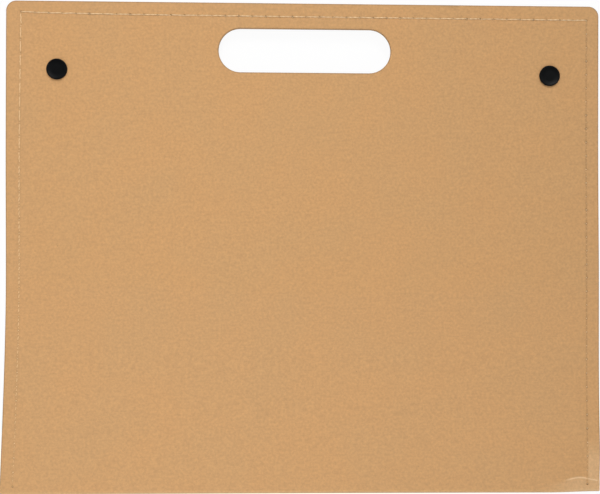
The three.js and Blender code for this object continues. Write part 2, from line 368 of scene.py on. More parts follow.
sheetGrid = {
    "pointGap": 0.8,        # a grid point this close to an added point is left out
    "pointInset": 0.55,     # added points keep this far from a cut
    "gridInset": 0.45,      # grid points keep this share of their step from it
}


def makeSheet(name, edges, distance, extent, sheet):
    # edges holds, for the outline and each hole, its rings from the cut inwards as (loop, crush depth, wear): the
    # wear is painted darker below 0, by the crushed board and painted shade, and painted highlight above 0. sheet
    # gives low, thickness, bend and materials. It may give joinY, up to which nothing is crushed because the board
    # goes on there, points to add, worn, the wear and painted light at x and y, and pressed, the depth pressed in.
    points, links, walls, depth, wearAndLight = [], [], [], [], []
    for rings in edges:
        walls.append((len(points), len(rings[0][0])))
        for loop, crush, wornAndLit in rings:
            first = len(points)
            points += loop
            depth += [crush] * len(loop)
            wearAndLight += [wornAndLit] * len(loop)
            links += [(first + k, first + (k + 1) % len(loop)) for k in range(len(loop))]
    xs = np.arange(extent[0], extent[1], board["gridStep"])
    ys = np.arange(extent[2], extent[3], board["gridStep"])
    gx, gy = (g.ravel() for g in np.meshgrid(xs, ys))
    added = np.array(sheet.get("points", [])).reshape(-1, 2)
    near = np.zeros(len(gx), bool)
    if len(added):
        away = np.hypot(gx[:, None] - added[:, 0], gy[:, None] - added[:, 1])
        near = np.min(away, axis=1) < sheetGrid["pointGap"]
        added = added[distance(added[:, 0], added[:, 1]) > sheetGrid["pointInset"]]
    inside = (distance(gx, gy) > board["gridStep"] * sheetGrid["gridInset"]) & ~near
    free = list(zip(gx[inside].tolist(), gy[inside].tolist())) + [tuple(p) for p in added.tolist()]
    points += free
    depth += [0.0] * len(free)
    wearAndLight += [0.0] * len(free)
    found = geometry.delaunay_2d_cdt([Vector(p) for p in points], links, [], 0, 1e-5)
    source = [origin[0] if origin else -1 for origin in found[3]]
    flat = np.array([tuple(v) for v in found[0]])
    crush = np.array([depth[k] if k >= 0 else 0.0 for k in source])
    wornAndLit = np.array([wearAndLight[k] if k >= 0 else 0.0 for k in source])
    place = {k: i for i, k in enumerate(source)}
    tris = np.array(found[2])
    a, b, c = flat[tris[:, 0]], flat[tris[:, 1]], flat[tris[:, 2]]
    area = (b[:, 0] - a[:, 0]) * (c[:, 1] - a[:, 1]) - (c[:, 0] - a[:, 0]) * (b[:, 1] - a[:, 1])
    tris[area < 0] = tris[area < 0][:, ::-1]
    middle = (a + b + c) / 3
    tris = tris[(distance(middle[:, 0], middle[:, 1]) > 0) & (np.abs(area) > 1e-9)]
    if "joinY" in sheet:
        crush = np.where(flat[:, 1] < sheet["joinY"], 0, crush)
        wornAndLit = np.where(flat[:, 1] < sheet["joinY"], 0, wornAndLit)
    if "wornAndLit" in sheet:
        wornAndLit = wornAndLit + sheet["wornAndLit"](flat[:, 0], flat[:, 1])
    if "pressed" in sheet:
        crush = crush + sheet["pressed"](flat[:, 0], flat[:, 1])
    count = len(flat)
    across, along, lift = sheet["bend"](flat[:, 0], flat[:, 1])
    x, y = flat[:, 0] + across, flat[:, 1] + along
    top = np.column_stack((x, y, sheet["low"] + sheet["thickness"] - crush + lift))
    under = np.column_stack((x, y, sheet["low"] + crush + lift))
    faces = tris.tolist() + (tris[:, ::-1] + count).tolist()
    slots = [0] * len(faces)
    for start, length in walls:
        ring = [place[start + k] for k in range(length)]
        for k in range(length):
            p, q = ring[k], ring[(k + 1) % length]
            faces.append((p + count, q + count, q, p))
            slots.append(1)
    used = np.unique(np.concatenate([np.array(f) for f in faces]))
    renumber = np.full(2 * count, -1)
    renumber[used] = np.arange(len(used))
    verts = np.vstack((top, under))[used]
    faces = [tuple(renumber[list(f)].tolist()) for f in faces]
    obj = newObject(name, verts, faces, sheet["materials"], slots)
    addAttribute(obj, "wearAndLight", np.concatenate((wornAndLit, wornAndLit))[used])
    return obj


def sweepAlongX(name, section, bend, materials, extent=None, swell=None):
    # a closed anticlockwise section of (y, z), drawn out along x; its two ends take the last material
    left, right = extent or (-sideX, sideX)
    steps = swell["steps"] if swell else round((right - left) / board["gridStep"])
    section = np.array(section, float)
    verts = []
    for x in np.linspace(left, right, steps + 1):
        ring = swell["shape"](x, section) if swell else section
        across, inwards, lift = bend(np.full(len(ring), x), ring[:, 0], ring[:, 1])
        verts += np.column_stack((x + across, ring[:, 0] + inwards, ring[:, 1] + lift)).tolist()
    faces = tubeFaces(len(section), steps + 1)
    index = [0] * (len(faces) - 2) + [len(materials) - 1] * 2
    return newObject(name, verts, faces, materials, index)


def turnedPiece(name, profile, centre, material, over=False, segments=72):
    # profile is (radius, height) up the outside; over turns the piece upside down about its centre
    verts, faces, rings = [], [], []
    for radius, height in profile:
        z = -height if over else height
        count = 1 if radius == 0 else segments
        rings.append((len(verts), count))
        for k in range(count):
            angle = 2 * math.pi * k / segments
            verts.append((radius * math.cos(angle), radius * math.sin(angle), z))
    if profile[0] == profile[-1]:  # a closed profile ends on its first ring
        rings[-1] = rings[0]
    for (a, countA), (b, countB) in zip(rings, rings[1:]):
        for k in range(segments):
            j = (k + 1) % segments
            if countA == 1:
                faces.append((a, b + j, b + k))
            elif countB == 1:
                faces.append((a + k, a + j, b))
            else:
                faces.append((a + k, a + j, b + j, b + k))
    if over:
        faces = [face[::-1] for face in faces]
    used = sorted({v for face in faces for v in face})
    renumber = {v: i for i, v in enumerate(used)}
    placed = [tuple(np.array(verts[v]) + np.array(centre)) for v in used]
    faces = [tuple(renumber[v] for v in face) for face in faces]
    obj = newObject(name, placed, faces, [material], sharpAngle=35)
    tidy = bmesh.new()
    tidy.from_mesh(obj.data)
    bmesh.ops.recalc_face_normals(tidy, faces=tidy.faces)
    tidy.to_mesh(obj.data)
    tidy.free()
    return obj


def softBox(lows, highs, soft):  # a box with its edges eased, as verts and faces to be joined with others
    cube = bmesh.new()
    bmesh.ops.create_cube(cube, size=1)
    for v in cube.verts:
        v.co = [lows[k] + (v.co[k] + 0.5) * (highs[k] - lows[k]) for k in range(3)]
    bmesh.ops.bevel(cube, geom=cube.edges[:], offset=soft, segments=2, profile=0.5, affect="EDGES")
    cube.verts.ensure_lookup_table()
    verts = [tuple(v.co) for v in cube.verts]
    faces = [tuple(v.index for v in f.verts) for f in cube.faces]
    cube.free()
    return verts, faces


def joined(name, parts, material):
    verts, faces = [], []
    for partVerts, partFaces in parts:
        faces += [tuple(k + len(verts) for k in face) for face in partFaces]
        verts += partVerts
    return newObject(name, verts, faces, [material])


# Materials. Every pattern is in Object coordinates, which are metres, so its scale is 1000 over its size in mm
def newMaterial(name):
    material = bpy.data.materials.new(name)
    tree = emptyTree(material)
    return material, tree, addNode(tree, "ShaderNodeTexCoord").outputs["Object"]


def drawnOut(tree, where, size, detail=2.0, turn=0):  # noise drawn out to a size in mm, turned by degrees
    inputs = {"Vector": where, "Rotation": (0, 0, math.radians(turn)), "Scale": [side * mm for side in size]}
    laid = addNode(tree, "ShaderNodeMapping", {"vector_type": "TEXTURE"}, inputs)
    return addNode(tree, "ShaderNodeTexNoise", None, {"Vector": laid, "Scale": 1.0, "Detail": detail})


def finishMaterial(tree, colour, tones, shader, relief, depth):
    # colour is multiplied by the sum of the tones, each (node, low, high, factor at low, factor at high);
    # relief lists the nodes whose sum stands depth millimetres high
    plus = {"operation": "ADD"}
    factor, height = None, None
    for pattern, low, high, atLow, atHigh in tones:
        inputs = {"Value": pattern, "From Min": low, "From Max": high, "To Min": atLow, "To Max": atHigh}
        share = addNode(tree, "ShaderNodeMapRange", None, inputs)
        factor = addNode(tree, "ShaderNodeMath", plus, {0: factor, 1: share}) if factor else share
    for pattern in relief:
        height = addNode(tree, "ShaderNodeMath", plus, {0: height, 1: pattern}) if height else pattern
    base = addNode(tree, "ShaderNodeVectorMath", {"operation": "SCALE"}, {0: colour, "Scale": factor})
    bump = addNode(tree, "ShaderNodeBump", None, {"Height": height, "Strength": 1.0, "Distance": depth * mm})
    inputs = dict(shader, **{"Base Color": base, "Normal": bump})
    body = addNode(tree, "ShaderNodeBsdfPrincipled", None, inputs)
    addNode(tree, "ShaderNodeOutputMaterial", None, {"Surface": body})


kraft = {
    "colour": 0xCD9F6C,
    "redder": 0xCE9E6A,     # the colour of the painted highlight on the bent line, the crushed corner and the fold's round
    "paleHighlight": 0xEBC79B,      # the pale inner fibres where the board has been bent hard
    "patch": 34,            # mm
    "fleck": 1.5,           # clumps of fibre
    "fibre": (9.0, 0.7, 0.7),   # length and width of the fibres, drawn about three times as coarse as they are
    "fibreTurns": (4, -52, 68),
    "speckSpacing": 8.5,
    "speck": 0.34,
    "relief": 0.02,
    "crushAndShade": 0.45,        # how much darker the board is painted below 0: its crushed edges, and painted shade at cuts, needle holes and seams
}


def kraftBoard(name, look):
    # Unbleached kraft board, pressed smooth between rollers: matte, streaked along the fold by its long fibres,
    # with paler and darker fibres lying across them and a few fine dark shives. Each vertex holds a value that
    # pales it with painted highlight, on the bent line, the crushed corner and the fold's round, and darkens it at
    # its crushed cut edges, where painted shade also lies, as it does in needle dimples and pressed seams.
    material, tree, where = newMaterial(name)
    inputs = {"Vector": where, "Scale": 1000 / look["patch"], "Detail": 2.0}
    patch = addNode(tree, "ShaderNodeTexNoise", None, inputs)
    inputs = {"Vector": where, "Scale": 1000 / look["fleck"], "Detail": 4.0, "Roughness": 0.62}
    fleck = addNode(tree, "ShaderNodeTexNoise", None, inputs)
    fibres = [drawnOut(tree, where, look["fibre"], turn=turn) for turn in look["fibreTurns"]]
    inputs = {"Vector": where, "Scale": 1000 / look["speckSpacing"]}
    spot = addNode(tree, "ShaderNodeTexVoronoi", None, inputs)
    inputs = {"Vector": where, "Scale": 1000 / (1.7 * look["speckSpacing"]), "Detail": 1.0}
    chance = addNode(tree, "ShaderNodeTexNoise", None, inputs)
    largest = look["speck"] / look["speckSpacing"]
    inputs = {"Value": chance, "From Min": 0.45, "From Max": 0.7, "To Max": largest}
    reach = addNode(tree, "ShaderNodeMapRange", None, inputs)
    speck = addNode(tree, "ShaderNodeMath", {"operation": "LESS_THAN"}, {0: spot, 1: reach})
    inputs = {"Value": patch, "From Min": 0.35, "From Max": 0.65}
    redness = addNode(tree, "ShaderNodeMapRange", None, inputs)
    inputs = {0: redness, 6: linear(look["colour"]), 7: linear(look["redder"])}
    tint = addNode(tree, "ShaderNodeMix", {"data_type": "RGBA"}, inputs).outputs[2]
    # the value that each vertex holds: above 0 painted highlight, below 0 crushed edges and painted shade
    wornAndLit = addNode(tree, "ShaderNodeAttribute", {"attribute_name": "wearAndLight"}).outputs["Fac"]
    inputs = {0: wornAndLit, 6: tint, 7: linear(look["paleHighlight"])}
    tint = addNode(tree, "ShaderNodeMix", {"data_type": "RGBA", "clamp_factor": True}, inputs).outputs[2]
    tones = [
        (patch, 0.3, 0.7, 0.99, 1.01),
        (fleck, 0.25, 0.75, -0.12, 0.12),
        (fibres[0], 0.25, 0.75, -0.025, 0.025),
        (fibres[1], 0.62, 0.74, 0.0, 0.04),
        (fibres[2], 0.63, 0.76, 0.0, -0.05),
        (speck, 0, 1, 0, -0.22),
        (wornAndLit, -1, 0, -look["crushAndShade"], 0),
    ]
    shader = {"Roughness": 0.82, "IOR": 1.47}
    finishMaterial(tree, tint, tones, shader, [fleck, fibres[0]], look["relief"])
    return material


def cutEdge(name, colour, ply):
    # The die-cut edge of a board: its plies show as thin darker and paler lines, rough and open
    material, tree, where = newMaterial(name)
    plyLength, tear = 6, 0.6
    plies = drawnOut(tree, where, (plyLength, plyLength, ply), 3.0)
    inputs = {"Vector": where, "Scale": 1000 / tear, "Detail": 4.0, "Roughness": 0.7}
    torn = addNode(tree, "ShaderNodeTexNoise", None, inputs)
    tones = [(plies, 0.3, 0.7, 0.82, 1.08), (torn, 0.3, 0.7, -0.12, 0.12)]
    finishMaterial(tree, linear(colour)[:3], tones, {"Roughness": 0.95, "IOR": 1.47}, [torn], 0.12)
    return material


def spunThread(name, colour):
    # Spun polyester thread: its fine fuzz dulls the highlight that a filament would have
    material, tree, where = newMaterial(name)
    fuzzSize = 0.25
    fuzz = addNode(tree, "ShaderNodeTexNoise", None, {"Vector": where, "Scale": 1000 / fuzzSize, "Detail": 2.0})
    shader = {"Roughness": 0.7, "IOR": 1.5, "Sheen Weight": 0.15}
    finishMaterial(tree, linear(colour)[:3], [(fuzz, 0.3, 0.7, 0.86, 1.1)], shader, [fuzz], 0.05)
    return material


def mouldedPlastic(name, colour):
    # Black acetal, moulded in a finely blasted tool: satin, with a very fine even grain
    material, tree, where = newMaterial(name)
    grainSize, cloudSize = 0.35, 5
    grain, cloud = (
        addNode(tree, "ShaderNodeTexNoise", None, {"Vector": where, "Scale": 1000 / size, "Detail": 2.0})
        for size in (grainSize, cloudSize)
    )
    shader = {"Roughness": 0.42, "IOR": 1.48, "Specular IOR Level": 0.18}
    finishMaterial(tree, linear(colour)[:3], [(cloud, 0.3, 0.7, 0.85, 1.15)], shader, [grain], 0.008)
    return material


def nickelPlate(name, colour):
    # Brass stamped to a cup and bright nickel plated: metallic, with faint drawing marks round its wall
    material, tree, where = newMaterial(name)
    markSize = (4, 4, 0.15)
    marks = drawnOut(tree, where, markSize)
    shader = {"Roughness": 0.28, "Metallic": 1.0}
    finishMaterial(tree, linear(colour)[:3], [(marks, 0.3, 0.7, 0.93, 1.05)], shader, [marks], 0.006)
    return material


def paperSheet(name, colour, cloudSize, depth):
    # Uncoated paper, crepe paper or grey board: matte, with the cloudy formation of its pulp
    material, tree, where = newMaterial(name)
    inputs = {"Vector": where, "Scale": 1000 / cloudSize, "Detail": 4.0, "Roughness": 0.6}
    cloud = addNode(tree, "ShaderNodeTexNoise", None, inputs)
    shader = {"Roughness": 0.9, "IOR": 1.5}
    finishMaterial(tree, linear(colour)[:3], [(cloud, 0.3, 0.7, 0.97, 1.02)], shader, [cloud], depth)
    return material


def wovenElastic(name, colour):
    # Woven elastic: matte polyester over rubber cores. The cores are in the mesh, the weft across them is here
    material, tree, where = newMaterial(name)
    weftSize = (0.9, 0.3, 0.3)
    weft = drawnOut(tree, where, weftSize)
    shader = {"Roughness": 0.85, "IOR": 1.5, "Sheen Weight": 0.2}
    finishMaterial(tree, linear(colour)[:3], [(weft, 0.3, 0.7, 0.75, 1.3)], shader, [weft], 0.08)
    return material


boardFace = kraftBoard("kraft board, pressed smooth", kraft)
liningLook = dict(kraft, colour=0xC79A69, redder=0xC99967, paleHighlight=0xE2BD92, fleck=2.2, relief=0.03)
liningFace = kraftBoard("kraft lining, uncoated", liningLook)
boardCut = cutEdge("kraft board, die-cut edge", 0xB2946C, 0.16)
liningCut = cutEdge("kraft lining, die-cut edge", 0xA88A63, 0.12)
sewingThread = spunThread("polyester thread, spun", 0xF8D9AA)
capPlastic = mouldedPlastic("black acetal, moulded", 0x090A0B)
studMetal = nickelPlate("brass, stamped and nickel plated", 0xC9C6BE)
padPaper = paperSheet("writing paper, uncoated", 0xF1EEE6, 3.0, 0.01)
padBoard = paperSheet("grey board, uncoated", 0xA59C8E, 2.0, 0.03)
headTape = paperSheet("crepe paper tape, brown", 0x8C6B45, 1.2, 0.05)
loopElastic = wovenElastic("elastic, woven", 0x1E1D1D)
print("materials made:", len(bpy.data.materials))


# Covers and linings, each with a needle hole for every stitch and the board pressed down round it
seam = {
    "topLeft": (-168.7, 139.0),
    "topRight": (170.2, 137.1),
    "foldLeft": (-170.1, -140.9),
    "foldRight": (170.0, -140.9),
    "pitch": 8.15,
    "needle": 0.42,
    "needleSpread": (0.7, 1.15),    # the holes vary in size between these shares
    "needleSteps": 8,
    "seed": 11,
    "dimple": 0.85,
    "dimpleDepth": 0.2,
    # painted shade round each needle hole, in its dimple
    "dimpleShade": -0.7,
    # of the top, left and right rows: how far each bows off a straight line, in x, y and the power that moves the
    # bow's middle, how far it is pulled down into the board at its start and end, and how open its holes are
    "bows": ((0.0, -0.75, 0.45), (-0.4, 0.0, 2.0), (0.0, 0.0, 1.0)),
    "tightness": ((0.0, 0.0), (2.15, 1.65), (2.3, 2.3)),
    "openness": (1.25, 0.7, 1.0),
    # of the left and right rows: how wide and deep the thread has pressed the board, and how much painted shade lies
    # in that groove
    "pressReach": (0.7, 0.4),
    "pressDepth": (0.04, 0.06),
    "pressShade": (0.16, 0.45),
}


def seamRow(start, end, bow):  # needle holes from start to end, both kept
    count = round(math.dist(start, end) / seam["pitch"])
    row = []
    for k in range(count + 1):
        share = k / count
        off = math.sin(math.pi * share ** bow[2])
        row.append(tuple(start[axis] + (end[axis] - start[axis]) * share + bow[axis] * off for axis in (0, 1)))
    return row


seamEnds = (("topLeft", "topRight"), ("foldLeft", "topLeft"), ("foldRight", "topRight"))
seamRows = [seamRow(seam[start], seam[end], bow) for (start, end), bow in zip(seamEnds, seam["bows"])]


def seamX(row, y):  # where the line of a side row is at y
    rowX, rowY = zip(*row)
    return np.interp(y, rowY, rowX)


def alongSeams(x, y, amounts):  # each side row's amount on its line, fading to 0 beside it and past its ends
    total = 0 * x
    for row, amount, reach in zip(seamRows[1:], amounts, seam["pressReach"]):
        within = (y > row[0][1] - reach) & (y < row[-1][1] + reach)
        total = total + amount * within * hump(x, seamX(row, y), reach)
    return total


# painted highlight of the front cover, less painted shade along the pressed side seams
def sewnLightAndShade(x, y):
    return frontHighlightsAndMark(x, y) - alongSeams(x, y, seam["pressShade"])


def sewnPress(x, y):
    return alongSeams(x, y, seam["pressDepth"])


chance = np.random.default_rng(seam["seed"])
needleHoles = []
for row, openness in zip((seamRows[0], seamRows[1][:-1], seamRows[2][:-1]), seam["openness"]):
    needleHoles += [(x, y, openness * chance.uniform(*seam["needleSpread"])) for x, y in row]
studHoles = [(x, y, stud["hole"]) for x, y in capPlaces.values()]
stripY = foldY + board["foldReach"]
liningFoldY = nodeBox("front_lining")[0].y
liningInset = sideX - nodeBox("front_lining")[1].x

# Points added to the front cover, along the bent line and along its side seams
fine = {
    "creaseFrom": 150.0,
    "creaseStep": 0.9,
    "creaseOffsets": (-1.6, -0.9, -0.45, -0.15, 0.15, 0.45, 0.9),
    "seamStep": 1.6,
    "seamOffsets": (-0.9, -0.4, 0, 0.4, 0.9),
}
finePoints = []
for x in np.arange(fine["creaseFrom"], sideX, fine["creaseStep"]):
    finePoints += [(x, creaseLine(x) + off) for off in fine["creaseOffsets"]]
for row in seamRows[1:]:
    for y in np.arange(row[0][1], row[-1][1], fine["seamStep"]):
        finePoints += [(seamX(row, y) + off, y) for off in fine["seamOffsets"]]

cutting = {
    "mostCrush": 0.35,      # an edge is crushed no deeper than this share of its sheet
    # the rings beside a cut: how far from it they lie and how deep they are crushed, both as shares of the
    # softness, and how dark they are: partly the crushed board, partly painted shade along the cut
    "edgeRings": ((0, 1, -0.9), (0.6, 0.35, -0.7), (3.2, 0, -0.4), (4.8, 0, 0)),
    "studRings": ((0, 1, -0.5), (2, 0, 0)),
    "studSteps": 24,
}


def dieCutSheet(name, cut, sheet):
    most = sheet["thickness"] * cutting["mostCrush"]
    soft, depth = min(board["edgeSoftness"], most), min(seam["dimpleDepth"], most)
    cut["holes"] = studHoles + [(x, y, seam["needle"] * size) for x, y, size in needleHoles]
    edges = []
    for loop in (coverLoop, slotLoop):
        rings = cutting["edgeRings"]
        edges.append([(loop(cut, off * soft), crush * soft, wornAndLit) for off, crush, wornAndLit in rings])
    for x, y, radius in studHoles:
        rings, count = cutting["studRings"], cutting["studSteps"]
        edges.append([(ringLoop(x, y, radius + off * soft, count), crush * soft, wornAndLit) for off, crush, wornAndLit in rings])
    for x, y, size in needleHoles:
        rings, count = ((seam["needle"], depth, seam["dimpleShade"]), (seam["dimple"], 0, 0)), seam["needleSteps"]
        edges.append([(ringLoop(x, y, reach * size, count), crush, wornAndLit) for reach, crush, wornAndLit in rings])

    def inside(x, y):
        return coverDistance(cut, x, y)

    return makeSheet(name, edges, inside, (-sideX, sideX, cut["foldSide"], edgeY), sheet)


covers = {
    "front": {"cover": frontInner, "lining": frontLiningLow, "shift": 0.0, "ease": 0.0},
    "back": {"cover": backOuter, "lining": backLiningLow, "shift": slot["backShift"], "ease": slot["backEase"]},
}
for body, at in covers.items():
    cut = {"inset": 0, "foldSide": stripY, "slotShift": at["shift"], "slotEase": at["ease"]}
    sheet = {"low": at["cover"], "thickness": board["thickness"], "bend": bends[body]}
    sheet.update({"materials": [boardFace, boardCut], "joinY": stripY + board["joinReach"]})
    if body == "front":
        sheet.update({"wornAndLit": sewnLightAndShade, "pressed": sewnPress, "points": finePoints})
    standIn(dieCutSheet(body + "CoverBoard", cut, sheet), body + "_cover", body)
    cut = dict(cut, inset=liningInset, foldSide=liningFoldY)
    sheet = {"low": at["lining"], "thickness": board["liningThickness"], "bend": bends[body]}
    sheet["materials"] = [liningFace, liningCut]
    standIn(dieCutSheet(body + "LiningSheet", cut, sheet), body + "_lining", body)
print("covers and linings cut, with", len(needleHoles), "needle holes each")


# Folds and spine: the board is scored, so each fold has a pressed groove either side of its rounded edge
fold = {
    "round": 1.4,
    "groove": 2.1,          # from the edge to the middle of the groove
    "grooveWidth": 0.35,
    "grooveDepth": 0.04,
    "bead": 0.25,
    "rim": 1.2,             # how far the painted highlight on the fold's round reaches, and how strong it is
    "rimHighlight": 0.45,
    "steps": 14,
    "frontBend": (-0.1, -1.1),  # a place on the front fold, from its outer corner
    "frontBendLean": 20,    # degrees: a leaning line, because the crushed corner lies lower
    "frontBendLength": 1.42,
    "backBend": 1.95,       # points on the back fold this far from its outer corner
}


def foldSection():  # the front fold at rest, outer corner at (0, 0), +Y into the cover and -Z down the spine
    reach, radius, thickness, bead = board["foldReach"], fold["round"], board["thickness"], fold["bead"]
    along = [reach - (reach - radius) * k / fold["steps"] for k in range(fold["steps"])]
    pressed = [fold["grooveDepth"] * hump(place, fold["groove"], fold["grooveWidth"]) for place in along]
    outside = [(place, -depth) for place, depth in zip(along, pressed)]
    outside += arc((radius, -radius), radius, 90, 180, 8) + [(0, -radius)]
    outside += [(depth, -place) for place, depth in list(zip(along, pressed))[::-1]]
    inner, near = 2.0 * thickness, 1.6 * thickness
    inside = [(thickness, -inner), (thickness + bead, -near), (near, -thickness - bead), (inner, -thickness)]
    return outside + [(thickness, -reach)] + inside + [(reach, -thickness)]


def foldPiece(name, section):
    piece = sweepAlongX(name, section, foldBend, [boardFace, boardCut])
    places = np.array([v.co[:] for v in piece.data.vertices]) / mm
    # painted highlight where the fold's round turns towards the lamps and the white floor
    wornAndLit = fold["rimHighlight"] * hump(places[:, 1], foldY - warp["foldOut"], fold["rim"])
    if name == "frontFold":
        wornAndLit = wornAndLit + frontHighlightsAndMark(places[:, 0], places[:, 1])
    addAttribute(piece, "wearAndLight", wornAndLit)
    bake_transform(piece)


foldPiece(
    "frontFold", [(foldY + y, spineTop + z) for y, z in foldSection()],
)
foldPiece(
    "backFold", [(foldY + y, spineLow - z) for y, z in foldSection()][::-1],
)

spineSteps = 8
low, high = spineLow + board["foldReach"], spineTop - board["foldReach"]
levels = [low + (high - low) * k / spineSteps for k in range(spineSteps + 1)]
section = [(foldY, z) for z in levels[::-1]] + [(foldY + board["thickness"], z) for z in levels]
spineBoard = sweepAlongX("spineBoard", section, foldBend, [boardFace, boardCut])
standIn(spineBoard, "spine", "spine")
print("spine and folds made")


# Stitches: one short twisted strand from each needle hole to the next, made by Geometry Nodes at the stitches'
# middles, outside on the cover and inside on the lining
stitch = {
    "width": 0.78,
    "ply": 0.24,            # radius of each of its two plies
    "turns": 1.6,
    "sink": 0.8,            # how far its ends go down into their holes
    "stand": 0.27,          # how far its middle stands off the board
    "steps": 12,
    "swing": 2.5,           # degrees
}


def groupInput(tree, name, kind, value):
    socket = tree.interface.new_socket(name, in_out="INPUT", socket_type="NodeSocket" + kind)
    if kind != "Geometry":
        socket.default_value = value
    return socket.identifier


def newTree(name, inputs):
    # inputs holds (name, kind, value); gives the tree, the sockets of its group input and their identifiers
    tree = bpy.data.node_groups.new(name, "GeometryNodeTree")
    names = {"Geometry": groupInput(tree, "Geometry", "Geometry", None)}
    for label, kind, value in inputs:
        names[label] = groupInput(tree, label, kind, value)
    tree.interface.new_socket("Geometry", in_out="OUTPUT", socket_type="NodeSocketGeometry")
    return tree, addNode(tree, "NodeGroupInput").outputs, names


def finishTree(tree, geometry, material):
    real = addNode(tree, "GeometryNodeRealizeInstances", None, {"Geometry": geometry})
    smoothed = addNode(tree, "GeometryNodeSetShadeSmooth", None, {"Geometry": real})
    coated = addNode(tree, "GeometryNodeSetMaterial", None, {"Geometry": smoothed, "Material": material})
    addNode(tree, "NodeGroupOutput", None, {"Geometry": coated})


def evaluated(obj, tree, names, values, material):  # runs the tree on an object and leaves a plain mesh in it
    modifier = obj.modifiers.new("nodes", "NODES")
    modifier.node_group = tree
    for label, value in values.items():
        modifier[names[label]] = value
    depsgraph = bpy.context.evaluated_depsgraph_get()
    mesh = bpy.data.meshes.new_from_object(obj.evaluated_get(depsgraph))
    obj.modifiers.remove(modifier)
    obj.data = mesh
    mesh.materials.clear()
    mesh.materials.append(material)
    return obj


def stitchTree():
    inputs = [("Pitch", "Float", 0.008), ("Width", "Float", 0.0006), ("Ply", "Float", 0.00017)]
    inputs += [("Turns", "Float", 1.6), ("Sink", "Float", 0.0008), ("Stand", "Float", 0.0002)]
    inputs += [("Steps", "Int", 12), ("Swing", "Float", 0.04), ("Seed", "Int", 3)]
    tree, given, names = newTree("stitches along a seam", inputs)
    half = addNode(tree, "ShaderNodeMath", times, {0: given["Pitch"], 1: 0.5})
    back = addNode(tree, "ShaderNodeMath", times, {0: half, 1: -1.0})
    start = addNode(tree, "ShaderNodeCombineXYZ", None, {"X": back})
    end = addNode(tree, "ShaderNodeCombineXYZ", None, {"X": half})
    line = addNode(tree, "GeometryNodeCurvePrimitiveLine", None, {"Start": start, "End": end})
    fine = addNode(tree, "GeometryNodeResampleCurve", None, {"Curve": line, "Count": given["Steps"]})
    share = addNode(tree, "GeometryNodeSplineParameter")
    inputs = {"Value": share, "To Min": -1.0, "To Max": 1.0}
    along = addNode(tree, "ShaderNodeMapRange", None, inputs)
    size = addNode(tree, "ShaderNodeMath", {"operation": "ABSOLUTE"}, {0: along})
    steep = addNode(tree, "ShaderNodeMath", {"operation": "POWER"}, {0: size, 1: 9.0})
    drop = addNode(tree, "ShaderNodeMath", {"operation": "ADD"}, {0: given["Sink"], 1: given["Stand"]})
    fall = addNode(tree, "ShaderNodeMath", times, {0: steep, 1: drop})
    rise = addNode(tree, "ShaderNodeMath", {"operation": "SUBTRACT"}, {0: given["Stand"], 1: fall})
    offset = addNode(tree, "ShaderNodeCombineXYZ", None, {"Z": rise})
    laid = addNode(tree, "GeometryNodeSetPosition", None, {"Geometry": fine, "Offset": offset})
    angle = addNode(tree, "ShaderNodeMath", times, {0: share, 1: given["Turns"]})
    angle = addNode(tree, "ShaderNodeMath", times, {0: angle, 1: 2 * math.pi})
    twisted = addNode(tree, "GeometryNodeSetCurveTilt", None, {"Curve": laid, "Tilt": angle})
    # the section stands for two plies side by side: a six-point ring flattened to the thread's width and a ply's
    # radius
    ring = addNode(tree, "GeometryNodeCurvePrimitiveCircle", None, {"Resolution": 6, "Radius": 1.0})
    place = addNode(tree, "GeometryNodeInputPosition")
    parts = addNode(tree, "ShaderNodeSeparateXYZ", None, {"Vector": place})
    wide = addNode(tree, "ShaderNodeMath", times, {0: given["Width"], 1: 0.5})
    x = addNode(tree, "ShaderNodeMath", times, {0: parts.outputs["X"], 1: wide})
    y = addNode(tree, "ShaderNodeMath", times, {0: parts.outputs["Y"], 1: given["Ply"]})
    flat = addNode(tree, "ShaderNodeCombineXYZ", None, {"X": x, "Y": y})
    section = addNode(tree, "GeometryNodeSetPosition", None, {"Geometry": ring, "Position": flat})
    inputs = {"Curve": twisted, "Profile Curve": section, "Fill Caps": True}
    strand = addNode(tree, "GeometryNodeCurveToMesh", None, inputs)
    kept = {"data_type": "FLOAT_VECTOR"}
    heading = addNode(tree, "GeometryNodeInputNamedAttribute", kept, {"Name": "along"})
    facing = addNode(tree, "GeometryNodeInputNamedAttribute", {"data_type": "FLOAT"}, {"Name": "turnedOver"})
    turn = addNode(tree, "FunctionNodeAlignRotationToVector", {"axis": "X"}, {"Vector": heading})
    inputs = {"Min": -1.0, "Max": 1.0, "Seed": given["Seed"]}
    chance = addNode(tree, "FunctionNodeRandomValue", {"data_type": "FLOAT"}, inputs).outputs[1]
    swing = addNode(tree, "ShaderNodeMath", times, {0: chance, 1: given["Swing"]})
    euler = addNode(tree, "ShaderNodeCombineXYZ", None, {"X": facing, "Z": swing})
    extra = addNode(tree, "FunctionNodeEulerToRotation", None, {"Euler": euler})
    settings = {"rotation_space": "LOCAL"}
    turned = addNode(tree, "FunctionNodeRotateRotation", settings, {"Rotation": turn, "Rotate By": extra})
    inputs = {"Points": given["Geometry"], "Instance": strand, "Rotation": turned}
    placed = addNode(tree, "GeometryNodeInstanceOnPoints", None, inputs)
    finishTree(tree, placed, sewingThread)
    return tree, names


